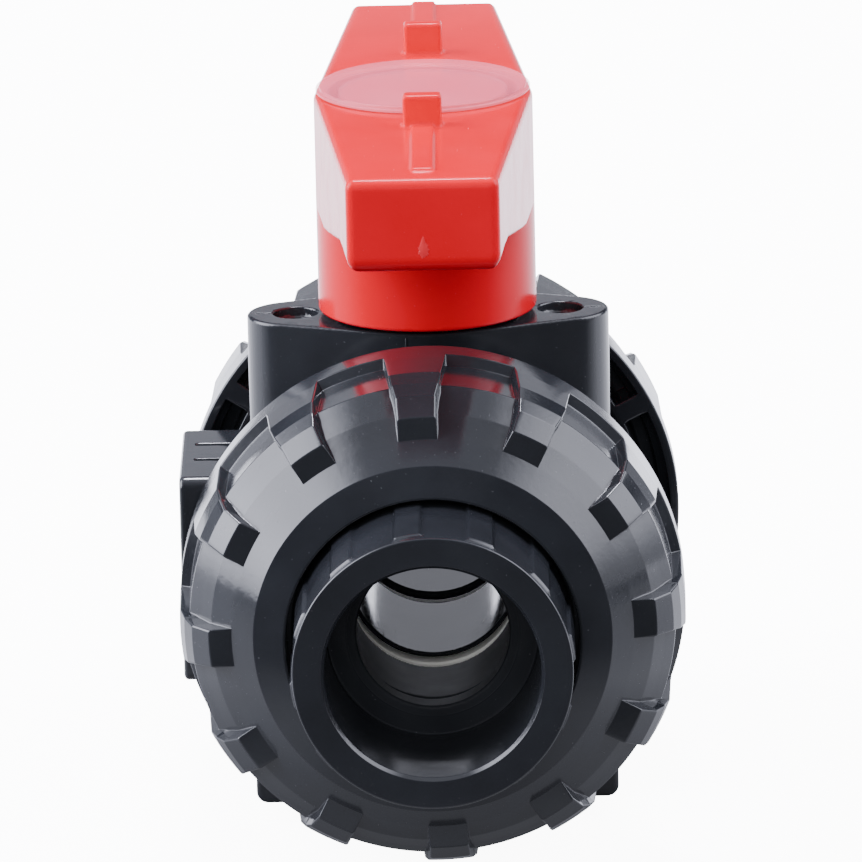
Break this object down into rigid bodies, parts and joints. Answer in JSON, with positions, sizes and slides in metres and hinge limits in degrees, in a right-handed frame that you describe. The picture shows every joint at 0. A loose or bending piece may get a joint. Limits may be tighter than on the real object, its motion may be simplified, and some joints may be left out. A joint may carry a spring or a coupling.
{
  "type": "union ball valve",
  "caption": "Quarter-turn plastic ball valve with threaded unions and solvent-weld pipe sockets at both ends, mounting ears and a two-wing red handle.",
  "frame": {"origin": "centre of the ball, where the pipe axis crosses the stem axis", "axes": "+Y along the pipe, away from the seat-carrier end; +Z along the stem, up to the handle; +X to the right when looking along +Y"},
  "size_m": [0.0768, 0.1358, 0.1162],
  "materials": {
    "grey_pvc": "moulded PVC-U, glossy, dark blue-grey",
    "red_handle": "moulded ABS, glossy, signal red",
    "clear_cap": "milky clear moulded plastic",
    "ptfe": "turned PTFE, waxy white",
    "seal_rubber": "moulded EPDM, satin black"
  },
  "bodies": {
    "valve_body": {"body": "grey_pvc", "seat_front": "ptfe", "seat_rear": "ptfe", "seat_cushion_ring_front": "seal_rubber", "seat_cushion_ring_rear": "seal_rubber", "seat_carrier": "grey_pvc", "seat_carrier_o_ring": "seal_rubber"},
    "ball": {"ball": "grey_pvc"},
    "stem": {"stem": "grey_pvc", "stem_o_ring_lower": "seal_rubber", "stem_o_ring_upper": "seal_rubber", "stem_thrust_washer": "ptfe"},
    "handle": {"handle": "red_handle", "clear_cap": "clear_cap"},
    "connector_front": {"end_connector_front": "grey_pvc", "connector_o_ring_front": "seal_rubber"},
    "nut_front": {"union_nut_front": "grey_pvc"},
    "connector_rear": {"end_connector_rear": "grey_pvc", "connector_o_ring_rear": "seal_rubber"},
    "nut_rear": {"union_nut_rear": "grey_pvc"}
  },
  "joints": [
    {"name": "stem_turn", "type": "hinge", "parent": "valve_body", "child": "stem", "pos_m": [0, 0, 0], "axis": [0, 0, 1], "range_deg": [-90, 0]},
    {"name": "ball_turn", "type": "hinge", "parent": "valve_body", "child": "ball", "pos_m": [0, 0, 0], "axis": [0, 0, 1], "range_deg": [-90, 0]},
    {"name": "handle_lift", "type": "slide", "parent": "stem", "child": "handle", "axis": [0, 0, 1], "range_m": [0, 0.03]},
    {"name": "connector_front_slide", "type": "slide", "parent": "valve_body", "child": "connector_front", "axis": [0, -1, 0], "range_m": [0, 0.026]},
    {"name": "nut_front_turn", "type": "hinge", "parent": "connector_front", "child": "nut_front", "pos_m": [0, 0, 0], "axis": [0, -1, 0], "range_deg": [0, 2341]},
    {"name": "connector_rear_slide", "type": "slide", "parent": "valve_body", "child": "connector_rear", "axis": [0, 1, 0], "range_m": [0, 0.026]},
    {"name": "nut_rear_turn", "type": "hinge", "parent": "connector_rear", "child": "nut_rear", "pos_m": [0, 0, 0], "axis": [0, 1, 0], "range_deg": [0, 2341]}
  ],
  "couplings": [
    {"joint": "ball_turn", "follows": "stem_turn", "ratio": 1},
    {"joint": "nut_front_turn", "follows": "connector_front_slide", "rad_per_m": 1570.8},
    {"joint": "nut_rear_turn", "follows": "connector_rear_slide", "rad_per_m": 1570.8}
  ]
}
